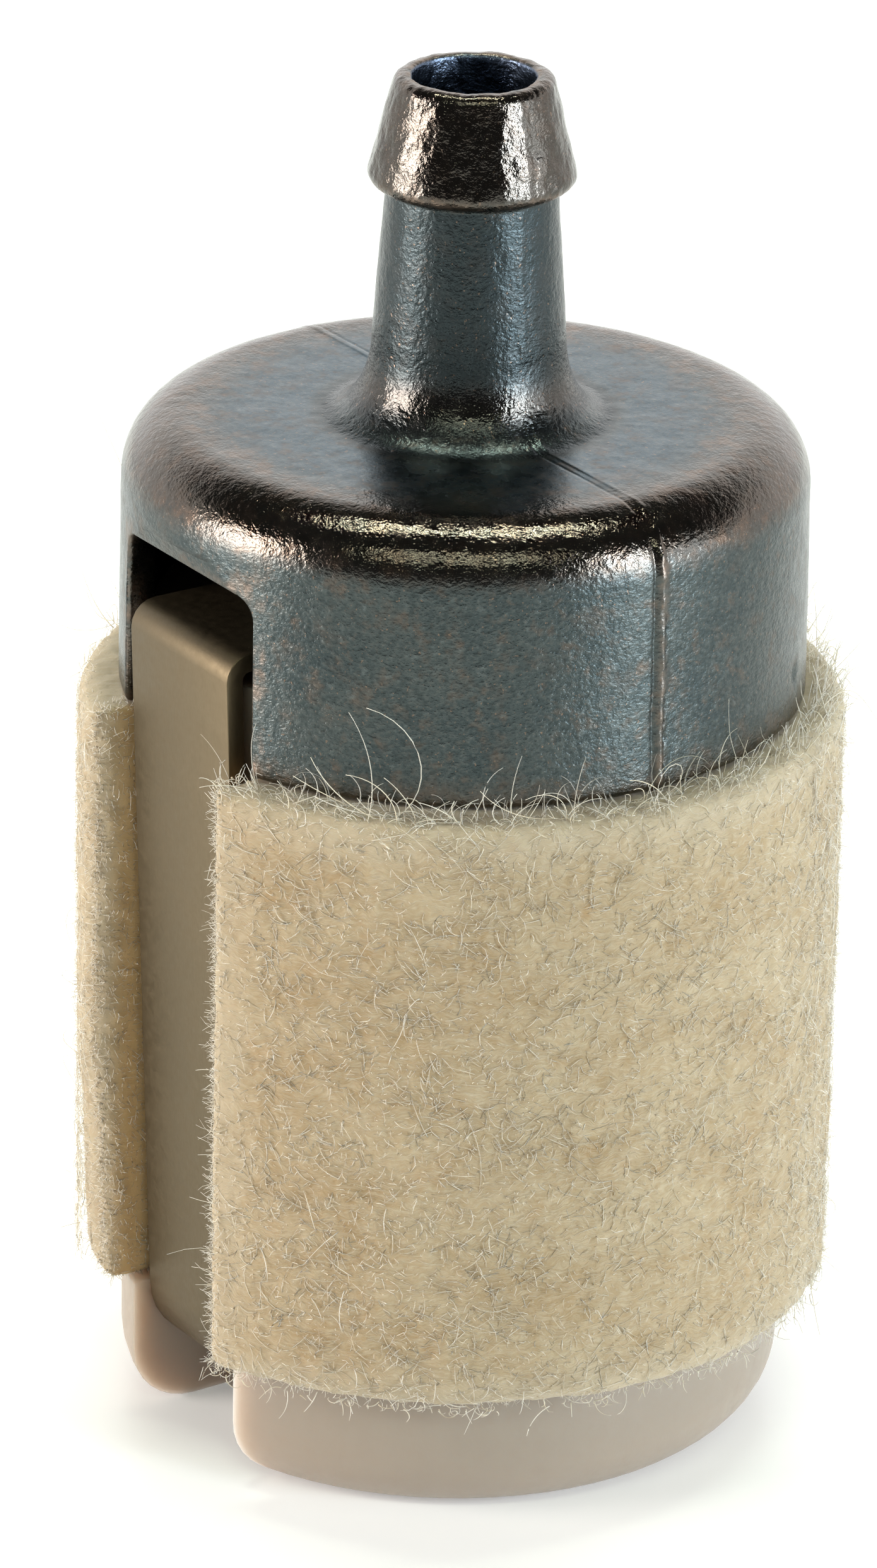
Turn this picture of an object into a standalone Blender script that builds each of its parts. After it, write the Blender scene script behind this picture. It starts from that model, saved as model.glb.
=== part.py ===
"""In-tank fuel filter for a small engine, modelled as its separate pieces.

A die-cast weight carries the hose nipple. Its boss plugs into a plastic cage, whose
windows are wrapped in felt. One steel strap, hooked into the cage's foot and into a
pocket of the boss, clamps the weight to the cage.

Frame: metres, +Z up along the hose axis, origin at the centre of the underside,
strap on the -Y side. "Depth" below is a distance from the axis towards -Y.
"""

import math

import bmesh
import bpy
from mathutils import Matrix

MM = 0.001

SEGMENTS = 72
HEAD_SEGMENTS = 48
SEAL_SEGMENTS = 48
SHARP_ANGLE = 35
MERGE_DISTANCE = 0.0001 * MM
GAP = 0.1 * MM

# Plastic cage: the foot, the windowed core and the collar are one moulding.
FOOT_RADIUS = 8.95 * MM
FOOT_HEIGHT = 3.8 * MM
FOOT_FILLET = 1.85 * MM
FLOOR_THICKNESS = 1.2 * MM
CORE_RADIUS = 8.2 * MM
CORE_WALL = 1.0 * MM
CORE_TOP = 22.6 * MM
SUMP_RADIUS = 6.6 * MM
SUMP_TOP = 5.0 * MM
COLLAR_BORE = 6.1 * MM
COLLAR_BOTTOM = 19.4 * MM
WINDOW_BOTTOM = 5.6 * MM
WINDOW_TOP = 18.6 * MM
WINDOW_RING = 0.8 * MM
WINDOW_COUNT = 6
WINDOW_WIDTH = 5.2 * MM
STRAP_RIB_ANGLE = 54

# Felt sleeve, a strip wrapped round the core with its two ends at the strap.
FELT_THICKNESS = 1.9 * MM
FELT_TOP = 20.5 * MM
FELT_EDGE = 0.5 * MM
FELT_HALF_OPENING = 2.8 * MM

# Mesh sleeve inside the windows.
SCREEN_THICKNESS = 0.2 * MM

# Die-cast head.
HEAD_BOTTOM = FELT_TOP + GAP
HEAD_TOP = 28.06 * MM
HEAD_RADIUS = 9.10 * MM
HEAD_DRAFT = 0.06 * MM
HEAD_FILLET = 1.70 * MM
SKIRT_BORE = CORE_RADIUS + GAP
SKIRT_CEILING = 25.6 * MM
BOSS_RADIUS = 5.95 * MM
BOSS_BOTTOM = 19.6 * MM
BOSS_CHAMFER = 0.3 * MM
SLOT_HALF_WIDTH = 2.98 * MM
SLOT_TOP = 25.45 * MM
SLOT_CORNER = 0.6 * MM

# Nipple: a 3/16 inch fuel line pushes over the barb and seals on the neck.
NECK_RADIUS = 2.54 * MM
NECK_TAPER = 0.30 * MM
NECK_FILLET = 1.10 * MM
BARB_BOTTOM = 34.35 * MM
BARB_RADIUS = 2.71 * MM
BARB_LIP = 0.34 * MM
TIP_RADIUS = 2.12 * MM
TIP_EDGE = 0.16 * MM
TIP_TOP = 37.3 * MM
BORE_RADIUS = 1.6 * MM
BORE_CHAMFER = 0.12 * MM

# Seal ring in the boss's groove.
SEAL_THICKNESS = 0.9 * MM
GROOVE_BOTTOM = 20.4 * MM
GROOVE_HEIGHT = 1.4 * MM
GROOVE_RADIUS = 5.05 * MM

# Steel strap, which leans inwards from its upper tab down to its lower leg.
STRAP_HALF_WIDTH = 2.35 * MM
STRAP_THICKNESS = 0.5 * MM
STRAP_DEPTH = 8.86 * MM
STRAP_FOOT_DEPTH = 8.18 * MM
TAB_TOP = 23.7 * MM
TAB_DEPTH = 4.7 * MM
TAB_BEND = 0.7 * MM
LEG_BOTTOM = 1.9 * MM
LEG_DEPTH = 5.9 * MM
LEG_BEND = 2.0 * MM

# Notch for the strap in the foot, with a wall of its own inside the cage.
NOTCH_HALF_WIDTH = 2.5 * MM
NOTCH_DEPTH = 5.6 * MM
NOTCH_WALL = 1.0 * MM

WAY_OUT = 2.0 * MM


def clear_scene():
    for obj in list(bpy.data.objects):
        bpy.data.objects.remove(obj)


def make_material(name, colour, roughness, metallic):
    material = bpy.data.materials.new(name)
    material.use_nodes = True
    shader = material.node_tree.nodes["Principled BSDF"]
    shader.inputs["Base Color"].default_value = (*colour, 1.0)
    shader.inputs["Roughness"].default_value = roughness
    shader.inputs["Metallic"].default_value = metallic
    material.diffuse_color = (*colour, 1.0)
    return material


def arc(centre, radius, start, end, steps):
    """Points of a circular arc in a two-coordinate outline, with angles in degrees."""
    points = []
    for step in range(steps + 1):
        angle = math.radians(start + (end - start) * step / steps)
        across = centre[0] + radius * math.cos(angle)
        up = centre[1] + radius * math.sin(angle)
        points.append((across, up))
    return points


def add_object(name, bm, material=None):
    """Moves a finished bmesh into a new smooth-shaded object of the scene."""
    bmesh.ops.recalc_face_normals(bm, faces=bm.faces)
    mesh = bpy.data.meshes.new(name)
    bm.to_mesh(mesh)
    bm.free()
    mesh.shade_smooth()
    mesh.set_sharp_from_angle(angle=math.radians(SHARP_ANGLE))
    if material:
        mesh.materials.append(material)
    obj = bpy.data.objects.new(name, mesh)
    bpy.context.scene.collection.objects.link(obj)
    return obj


def turned(name, outline, material=None, closed=True, segments=SEGMENTS):
    """Spins a (radius, height) outline about Z. An open one has its ends on the axis."""
    bm = bmesh.new()
    verts = [bm.verts.new((radius, 0, height)) for radius, height in outline]
    pairs = list(zip(verts, verts[1:]))
    if closed:
        pairs.append((verts[-1], verts[0]))
    edges = [bm.edges.new(pair) for pair in pairs]
    bmesh.ops.spin(
        bm,
        geom=verts + edges,
        axis=(0, 0, 1),
        angle=math.tau,
        steps=segments,
        use_merge=True,
    )
    bmesh.ops.remove_doubles(bm, verts=bm.verts, dist=MERGE_DISTANCE)
    return add_object(name, bm, material)


def prism(name, corners, sweep, material=None):
    """The polygon through the corners, swept along a vector into a closed solid."""
    bm = bmesh.new()
    face = bm.faces.new([bm.verts.new(corner) for corner in corners])
    swept = bmesh.ops.extrude_face_region(bm, geom=[face])["geom"]
    far_verts = [item for item in swept if isinstance(item, bmesh.types.BMVert)]
    bmesh.ops.translate(bm, verts=far_verts, vec=sweep)
    return add_object(name, bm, material)


def front_prism(name, outline, half_width, material=None):
    """A (depth, height) outline on the -Y side, made equally wide to both sides of X = 0."""
    corners = [(-half_width, -depth, height) for depth, height in outline]
    return prism(name, corners, (2 * half_width, 0, 0), material)


def combine(obj, other, operation):
    """Applies another object to this one as a live Boolean and keeps it as a hidden guide."""
    modifier = obj.modifiers.new(other.name, "BOOLEAN")
    modifier.operation = operation
    modifier.solver = "EXACT"
    modifier.object = other
    other.hide_render = True
    other.display_type = "WIRE"


def cage_outline():
    fillet_centre = (FOOT_RADIUS - FOOT_FILLET, FOOT_FILLET)
    core_bore = CORE_RADIUS - CORE_WALL
    return [
        (0, 0),
        *arc(fillet_centre, FOOT_FILLET, -90, 0, 8),
        (FOOT_RADIUS, FOOT_HEIGHT),
        (CORE_RADIUS, FOOT_HEIGHT),
        (CORE_RADIUS, CORE_TOP),
        (COLLAR_BORE, CORE_TOP),
        (COLLAR_BORE, COLLAR_BOTTOM),
        (core_bore, COLLAR_BOTTOM),
        (core_bore, SUMP_TOP),
        (SUMP_RADIUS, SUMP_TOP),
        (SUMP_RADIUS, FLOOR_THICKNESS),
        (0, FLOOR_THICKNESS),
    ]


def window_cutter():
    """Two rows of radial blocks. A wide solid rib is left behind the strap."""
    bm = bmesh.new()
    row_height = (WINDOW_TOP - WINDOW_BOTTOM - WINDOW_RING) / 2
    reach = FOOT_RADIUS - SUMP_RADIUS + WAY_OUT
    pitch = (360 - STRAP_RIB_ANGLE) / WINDOW_COUNT
    for row in range(2):
        height = WINDOW_BOTTOM + row_height / 2 + row * (row_height + WINDOW_RING)
        for window in range(WINDOW_COUNT):
            angle = -90 + STRAP_RIB_ANGLE / 2 + pitch * (window + 0.5)
            turn = Matrix.Rotation(math.radians(angle), 4, "Z")
            place = Matrix.Translation((CORE_RADIUS - CORE_WALL / 2, 0, height))
            size = Matrix.Diagonal((reach, WINDOW_WIDTH, row_height, 1))
            bmesh.ops.create_cube(bm, size=1, matrix=turn @ place @ size)
    return add_object("window_cutter", bm)


def notch_wall():
    """The block inside the cage that the strap's notch is cut into."""
    inner = NOTCH_DEPTH - NOTCH_WALL
    outer = CORE_RADIUS - CORE_WALL + GAP
    bottom = FLOOR_THICKNESS / 2
    outline = [(inner, bottom), (outer, bottom), (outer, SUMP_TOP), (inner, SUMP_TOP)]
    return front_prism("notch_wall", outline, NOTCH_HALF_WIDTH + NOTCH_WALL)


def notch_cutter():
    """Clears the strap's leg under the foot and its bend up the outside of the core."""
    bend_radius = LEG_BEND - STRAP_THICKNESS - GAP
    behind = STRAP_THICKNESS + GAP
    bend_centre = (STRAP_FOOT_DEPTH - behind - bend_radius, LEG_BOTTOM + behind + bend_radius)
    ceiling = LEG_BOTTOM + behind
    top = TAB_TOP - TAB_BEND
    far = FOOT_RADIUS + WAY_OUT
    outline = [
        (NOTCH_DEPTH, -WAY_OUT),
        (far, -WAY_OUT),
        (far, top),
        (STRAP_DEPTH - behind, top),
        *arc(bend_centre, bend_radius, 0, -90, 5),
        (NOTCH_DEPTH, ceiling),
    ]
    return front_prism("notch_cutter", outline, NOTCH_HALF_WIDTH)


def make_cage(material):
    cage = turned("cage", cage_outline(), material, closed=False)
    combine(cage, notch_wall(), "UNION")
    combine(cage, window_cutter(), "DIFFERENCE")
    combine(cage, notch_cutter(), "DIFFERENCE")
    return cage


def make_screen(material):
    outer = CORE_RADIUS - CORE_WALL - GAP
    inner = outer - SCREEN_THICKNESS
    bottom = SUMP_TOP + GAP
    top = COLLAR_BOTTOM - GAP
    outline = [(inner, bottom), (outer, bottom), (outer, top), (inner, top)]
    return turned("screen", outline, material)


def make_felt(material):
    inner = CORE_RADIUS + GAP
    outer = inner + FELT_THICKNESS
    bottom = FOOT_HEIGHT + GAP
    outline = [
        (inner, bottom),
        *arc((outer - FELT_EDGE, bottom + FELT_EDGE), FELT_EDGE, -90, 0, 3),
        *arc((outer - FELT_EDGE, FELT_TOP - FELT_EDGE), FELT_EDGE, 0, 90, 3),
        (inner, FELT_TOP),
    ]
    felt = turned("felt_wrap", outline, material)
    near = CORE_RADIUS - WAY_OUT
    far = outer + WAY_OUT
    opening = [(near, 0), (far, 0), (far, HEAD_TOP), (near, HEAD_TOP)]
    combine(felt, front_prism("felt_opening", opening, FELT_HALF_OPENING), "DIFFERENCE")
    return felt


def nipple_outline():
    """From the foot of the neck up the outside, over the tip and into the bore."""
    fillet_centre = (NECK_RADIUS + NECK_FILLET, HEAD_TOP + NECK_FILLET)
    lip_centre = (BARB_RADIUS - BARB_LIP, BARB_BOTTOM + BARB_LIP)
    edge_centre = (TIP_RADIUS - TIP_EDGE, TIP_TOP - TIP_EDGE)
    return [
        *arc(fillet_centre, NECK_FILLET, 270, 180, 5),
        (NECK_RADIUS - NECK_TAPER, BARB_BOTTOM),
        *arc(lip_centre, BARB_LIP, -80, 16, 4),
        *arc(edge_centre, TIP_EDGE, 16, 90, 2),
        (BORE_RADIUS + BORE_CHAMFER, TIP_TOP),
        (BORE_RADIUS, TIP_TOP - BORE_CHAMFER),
    ]


def head_outline():
    top_radius = HEAD_RADIUS - HEAD_DRAFT
    fillet_centre = (top_radius - HEAD_FILLET, HEAD_TOP - HEAD_FILLET)
    groove_top = GROOVE_BOTTOM + GROOVE_HEIGHT
    return [
        (BORE_RADIUS, BOSS_BOTTOM),
        (BOSS_RADIUS - BOSS_CHAMFER, BOSS_BOTTOM),
        (BOSS_RADIUS, BOSS_BOTTOM + BOSS_CHAMFER),
        (BOSS_RADIUS, GROOVE_BOTTOM),
        (GROOVE_RADIUS, GROOVE_BOTTOM),
        (GROOVE_RADIUS, groove_top),
        (BOSS_RADIUS, groove_top),
        (BOSS_RADIUS, SKIRT_CEILING),
        (SKIRT_BORE, SKIRT_CEILING),
        (SKIRT_BORE, HEAD_BOTTOM),
        (HEAD_RADIUS, HEAD_BOTTOM),
        *arc(fillet_centre, HEAD_FILLET, 0, 90, 7),
        *nipple_outline(),
    ]


def slot_cutter():
    """The opening in the skirt for the strap, with rounded upper corners."""
    inset = SLOT_HALF_WIDTH - SLOT_CORNER
    shoulder = SLOT_TOP - SLOT_CORNER
    below = HEAD_BOTTOM - WAY_OUT
    outline = [
        (-SLOT_HALF_WIDTH, below),
        (SLOT_HALF_WIDTH, below),
        *arc((inset, shoulder), SLOT_CORNER, 0, 90, 4),
        *arc((-inset, shoulder), SLOT_CORNER, 90, 180, 4),
    ]
    start = -HEAD_RADIUS - WAY_OUT
    corners = [(across, start, height) for across, height in outline]
    reach = HEAD_RADIUS + WAY_OUT - (BOSS_RADIUS + GAP)
    return prism("slot_cutter", corners, (0, reach, 0))


def pocket_cutter():
    """The pocket in the boss that the strap's upper tab hooks into."""
    bottom = TAB_TOP - STRAP_THICKNESS - GAP
    top = TAB_TOP + 2 * GAP
    near = TAB_DEPTH - 3 * GAP
    far = BOSS_RADIUS + GAP
    outline = [(near, bottom), (far, bottom), (far, top), (near, top)]
    return front_prism("pocket_cutter", outline, NOTCH_HALF_WIDTH)


def make_head(material):
    head = turned("head", head_outline(), material, segments=HEAD_SEGMENTS)
    combine(head, slot_cutter(), "DIFFERENCE")
    combine(head, pocket_cutter(), "DIFFERENCE")
    return head


def make_seal(material):
    radius = SEAL_THICKNESS / 2
    centre = (GROOVE_RADIUS + GAP + radius, GROOVE_BOTTOM + GROOVE_HEIGHT / 2)
    outline = arc(centre, radius, 0, 360, 10)[:-1]
    return turned("seal_ring", outline, material, segments=SEAL_SEGMENTS)


def make_strap(material):
    """One bent strip: an upper tab, a long leaning back and a lower leg."""
    tab_centre = (STRAP_DEPTH - TAB_BEND, TAB_TOP - TAB_BEND)
    leg_centre = (STRAP_FOOT_DEPTH - LEG_BEND, LEG_BOTTOM + LEG_BEND)
    outline = [
        (TAB_DEPTH, TAB_TOP),
        *arc(tab_centre, TAB_BEND, 90, 0, 5),
        *arc(leg_centre, LEG_BEND, 0, -90, 7),
        (LEG_DEPTH, LEG_BOTTOM),
        (LEG_DEPTH, LEG_BOTTOM + STRAP_THICKNESS),
        *arc(leg_centre, LEG_BEND - STRAP_THICKNESS, -90, 0, 7),
        (STRAP_DEPTH - STRAP_THICKNESS, tab_centre[1]),
        *arc(tab_centre, TAB_BEND - STRAP_THICKNESS, 0, 90, 3)[1:],
        (TAB_DEPTH, TAB_TOP - STRAP_THICKNESS),
    ]
    return front_prism("strap_clip", outline, STRAP_HALF_WIDTH, material)


def main():
    clear_scene()
    make_cage(make_material("white_nylon", (0.78, 0.73, 0.69), 0.42, 0.0))
    make_screen(make_material("screen_mesh", (0.55, 0.57, 0.58), 0.45, 0.0))
    make_felt(make_material("cream_felt", (0.62, 0.54, 0.34), 0.95, 0.0))
    make_head(make_material("cast_zinc", (0.17, 0.22, 0.24), 0.38, 0.9))
    make_seal(make_material("black_rubber", (0.03, 0.03, 0.03), 0.6, 0.0))
    make_strap(make_material("grey_steel", (0.33, 0.31, 0.27), 0.45, 0.9))


main()
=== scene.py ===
"""Looks of the in-tank fuel filter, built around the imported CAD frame.

The die-cast head, the steel strap, the felt sleeve and the plastic cage each get a
detailed piece in place of their CAD solid. Loose fibres stand on the felt.
"""

import math

import bmesh
import bpy
import numpy as np
from mathutils import Matrix, Vector, noise


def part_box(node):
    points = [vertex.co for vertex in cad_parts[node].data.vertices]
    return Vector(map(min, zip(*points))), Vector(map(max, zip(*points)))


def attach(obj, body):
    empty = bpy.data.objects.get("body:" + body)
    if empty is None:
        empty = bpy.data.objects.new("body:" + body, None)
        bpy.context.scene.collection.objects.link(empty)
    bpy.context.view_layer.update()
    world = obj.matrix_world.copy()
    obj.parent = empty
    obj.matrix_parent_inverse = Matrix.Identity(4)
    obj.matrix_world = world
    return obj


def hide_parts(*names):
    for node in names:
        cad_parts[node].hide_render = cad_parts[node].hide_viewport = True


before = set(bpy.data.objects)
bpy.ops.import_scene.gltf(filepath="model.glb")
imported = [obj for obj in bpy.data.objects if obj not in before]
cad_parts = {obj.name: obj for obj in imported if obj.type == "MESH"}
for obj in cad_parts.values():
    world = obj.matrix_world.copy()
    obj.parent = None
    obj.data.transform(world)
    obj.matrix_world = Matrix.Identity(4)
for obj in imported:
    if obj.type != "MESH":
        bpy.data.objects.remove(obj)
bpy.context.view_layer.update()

MM = 0.001

# The casting, from the CAD head's box and the dimensions of its outline.
HEAD_LOW, HEAD_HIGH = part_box("head")
HEAD_RADIUS = HEAD_HIGH.x
HEAD_DRAFT = 0.06 * MM
HEAD_FILLET = 1.70 * MM
HEAD_TOP = 28.06 * MM
TIP_TOP = HEAD_HIGH.z
SKIRT_BOTTOM = 20.6 * MM
SKIRT_EDGE = 0.15 * MM
SKIRT_BORE = 8.3 * MM
SKIRT_CEILING = 25.6 * MM
BOSS_RADIUS = 5.95 * MM
BOSS_BOTTOM = HEAD_LOW.z
GROOVE_LOW = 20.4 * MM
GROOVE_HIGH = 21.8 * MM
GROOVE_RADIUS = 5.05 * MM
NECK_RADIUS = 2.54 * MM
NECK_TAPER = 0.30 * MM
FLARE_WIDTH = 1.3 * MM
FLARE_HEIGHT = 2.2 * MM
BARB_BOTTOM = 34.35 * MM
BARB_RADIUS = 2.71 * MM
BARB_LIP = 0.34 * MM
TIP_RADIUS = 2.12 * MM
TIP_EDGE = 0.30 * MM
BORE_RADIUS = 1.6 * MM
BORE_CHAMFER = 0.12 * MM

# The slot in the skirt, rounded where it meets the outside, and the boss's pocket,
# which is given by its depth, bottom and top.
SLOT_HALF_WIDTH = 2.98 * MM
SLOT_TOP = 25.45 * MM
SLOT_CORNER = 0.6 * MM
SLOT_EDGE = 0.2 * MM
POCKET = (4.4 * MM, 23.1 * MM, 23.9 * MM)
POCKET_HALF_WIDTH = 2.5 * MM

# Mesh resolution of the casting.
ROW_STEP = 0.15 * MM
HIDDEN_ROW_STEP = 1.2 * MM
COLUMN_STEP = math.radians(0.9)
SEAM_COLUMN_STEP = math.radians(0.28)
SEAM_REACH = math.radians(4.5)

FELT_LOW, FELT_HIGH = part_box("felt_wrap")
FELT_RADIUS = FELT_HIGH.x
FELT_HALF_OPENING = 2.8 * MM
FELT_END_ROUND = (1.1 * MM, 0.6 * MM)
FELT_CREASE = 11.6 * MM
FELT_VOXEL = 0.15 * MM

# Fibres of each kind: how many, points along each, and usual length in millimetres.
PILE = (13500, 3, 0.16)
END_PILE = (7500, 4, 0.16)
LYING = (6500, 5, 0.50)
LOOSE = (240, 8, 1.0)
TOP_HAIRS = (1500, 12, 0.50)
LONG_HAIRS = (44, 12, 1.7)
BOTTOM_HAIRS = (500, 12, 0.35)
SEED = 20

# Rounding of the strap's and the cage's edges, and how fine the screen's weave is.
STRAP_EDGE = 0.035 * MM
CAGE_EDGE = 0.18 * MM
SCREEN_WAVES = 3200


# ---------------------------------------------------------------- materials


class Graph:
    """One material's node tree, with short calls for the nodes used here."""

    def __init__(self, name):
        self.material = bpy.data.materials.new(name)
        self.material.use_nodes = True
        self.tree = self.material.node_tree
        self.shader = self.tree.nodes["Principled BSDF"]
        self.place = self.add("ShaderNodeTexCoord").outputs["Object"]

    def add(self, kind, inputs=None, **settings):
        node = self.tree.nodes.new(kind)
        for name, value in settings.items():
            setattr(node, name, value)
        for name, value in (inputs or {}).items():
            self.put(node.inputs[name], value)
        return node

    def put(self, socket, value):
        if isinstance(value, bpy.types.NodeSocket):
            self.tree.links.new(value, socket)
        else:
            socket.default_value = value

    def shade(self, **inputs):
        for name, value in inputs.items():
            self.put(self.shader.inputs[name.replace("_", " ")], value)

    def noise(self, size, detail=3.0, roughness=0.55, place=None):
        """Noise from 0 to 1 whose features are about this many millimetres across."""
        inputs = {
            "Vector": place or self.place,
            "Scale": 1 / (size * MM),
            "Detail": detail,
            "Roughness": roughness,
        }
        return self.add("ShaderNodeTexNoise", inputs).outputs["Fac"]

    def stretched(self, x, y, z):
        """The object's coordinates, squeezed by these factors, for drawn-out noise."""
        inputs = {"Vector": self.place, "Scale": (x, y, z)}
        return self.add("ShaderNodeMapping", inputs).outputs["Vector"]

    def strands(self, place, turn, width):
        """Wavy fibres this many millimetres wide, lying at an angle in a flat plane."""
        inputs = {"Vector": place, "Scale": 1 / (0.7 * MM), "Detail": 2.0}
        drift = self.add("ShaderNodeTexNoise", inputs).outputs["Color"]
        drift = self.vector_maths("MULTIPLY", drift, (0.75 * MM, 0.75 * MM, 0))
        moved = self.vector_maths("ADD", place, drift)
        inputs = {"Vector": moved, "Rotation": (0, 0, turn), "Scale": (0.15, 1, 1)}
        turned = self.add("ShaderNodeMapping", inputs).outputs["Vector"]
        return self.between(self.noise(width, 1.5, 0.5, turned), 0.50, 0.68)

    def attribute(self, name):
        return self.add("ShaderNodeAttribute", attribute_name=name).outputs["Fac"]

    def between(self, value, low, high, to_low=0.0, to_high=1.0):
        """Maps a value's range low to high onto another range, clamped."""
        node = self.add("ShaderNodeMapRange")
        parts = (value, low, high, to_low, to_high)
        for socket, part in zip(node.inputs, parts):
            self.put(socket, part)
        return node.outputs["Result"]

    def mix(self, factor, first, second):
        node = self.add("ShaderNodeMix", data_type="RGBA")
        self.put(node.inputs["Factor"], factor)
        for socket, colour in (("A", first), ("B", second)):
            value = colour if isinstance(colour, bpy.types.NodeSocket) else (*colour, 1.0)
            target = next(i for i in node.inputs if i.name == socket and i.type == "RGBA")
            self.put(target, value)
        return next(o for o in node.outputs if o.type == "RGBA")

    def maths(self, operation, first, second):
        inputs = {0: first, 1: second}
        return self.add("ShaderNodeMath", inputs, operation=operation).outputs["Value"]

    def vector_maths(self, operation, first, second):
        inputs = {0: first, 1: second}
        return self.add("ShaderNodeVectorMath", inputs, operation=operation).outputs["Vector"]

    def bump(self, height, distance, strength=1.0, under=None):
        inputs = {"Height": height, "Distance": distance * MM, "Strength": strength}
        if under:
            inputs["Normal"] = under
        return self.add("ShaderNodeBump", inputs).outputs["Normal"]


def zinc_material():
    """Die-cast zinc: slate grey with teal and brown tints, orange peel and worn edges."""
    g = Graph("cast_zinc")
    clouds = g.between(g.noise(2.6), 0.38, 0.64)
    colour = g.mix(clouds, (0.068, 0.081, 0.081), (0.050, 0.064, 0.067))
    colour = g.mix(g.attribute("flat"), colour, (0.050, 0.086, 0.112))
    patches = g.between(g.noise(0.8, 5, 0.62), 0.50, 0.62)
    tint = g.mix(g.noise(1.3), (0.135, 0.098, 0.078), (0.20, 0.115, 0.066))
    colour = g.mix(g.maths("MULTIPLY", patches, g.attribute("rim")), colour, tint)
    blotches = g.between(g.noise(0.9, 5, 0.62), 0.52, 0.66, 0, 0.35)
    colour = g.mix(blotches, colour, (0.115, 0.088, 0.070))
    spots = g.between(g.noise(0.45, 4), 0.56, 0.70, 0, 0.5)
    colour = g.mix(spots, colour, (0.125, 0.096, 0.076))
    scales = g.noise(0.15, 3, 0.6, g.stretched(1, 1, 1.5))
    colour = g.mix(g.between(scales, 0.50, 0.60, 0, 0.35), colour, (0.110, 0.118, 0.112))
    colour = g.mix(g.between(scales, 0.36, 0.46, 0.4, 0), colour, (0.030, 0.036, 0.036))
    colour = g.mix(g.between(g.noise(0.22, 4), 0.58, 0.74, 0, 0.5), colour, (0.145, 0.165, 0.165))
    # The neck stem's own darker colour, and painted shade in the crease round the foot of the
    # flare. The neck attribute carries both.
    colour = g.mix(g.attribute("neck"), colour, (0.036, 0.046, 0.050))
    wear = g.maths("MULTIPLY", g.attribute("wear"), g.between(g.noise(0.4, 4), 0.3, 0.62))
    colour = g.mix(wear, colour, (0.25, 0.185, 0.145))
    polish = g.attribute("polish")
    colour = g.mix(g.maths("MULTIPLY", polish, 0.75), colour, (0.080, 0.066, 0.055))
    specks = g.between(g.noise(0.10, 2), 0.66, 0.74, 0, 0.7)
    colour = g.mix(specks, colour, (0.24, 0.165, 0.12))
    rough = g.between(g.noise(0.45, 4), 0.3, 0.7, 0.22, 0.34)
    rough = g.maths("ADD", rough, g.maths("MULTIPLY", wear, 0.12))
    rough = g.maths("SUBTRACT", rough, g.maths("MULTIPLY", polish, 0.19))
    rough = g.maths("MAXIMUM", rough, 0.085)
    relief = g.attribute("relief")
    peel = g.bump(g.noise(0.22, 3, 0.55), 0.030, relief)
    fine = g.between(relief, 0, 0.3, 0.25, 1.0)
    peel = g.bump(g.noise(0.09, 2, 0.55, g.stretched(1, 1, 1.5)), 0.010, fine, peel)
    matt = g.maths("MULTIPLY", fine, g.between(polish, 0, 1, 1, 0.3))
    peel = g.bump(scales, 0.018, matt, peel)
    navy = g.mix(g.noise(0.8), (0.12, 0.15, 0.20), (0.075, 0.10, 0.15))
    colour = g.mix(g.attribute("bore"), colour, navy)
    g.shade(Base_Color=colour, Metallic=1.0, Roughness=rough, Normal=peel)
    return g.material


def steel_material():
    """Matt warm-grey strip steel with a fine rolled grain."""
    g = Graph("strap_steel")
    colour = g.mix(g.noise(3.0), (0.130, 0.101, 0.062), (0.113, 0.090, 0.056))
    grain = g.noise(0.06, 2, 0.6, g.stretched(1, 1, 0.25))
    colour = g.mix(g.between(grain, 0.35, 0.7, 0, 0.25), colour, (0.155, 0.125, 0.082))
    rough = g.between(g.noise(0.25, 3), 0.3, 0.7, 0.44, 0.54)
    normal = g.bump(grain, 0.004, 0.6)
    g.shade(Base_Color=colour, Metallic=1.0, Roughness=rough, Normal=normal)
    return g.material


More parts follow.
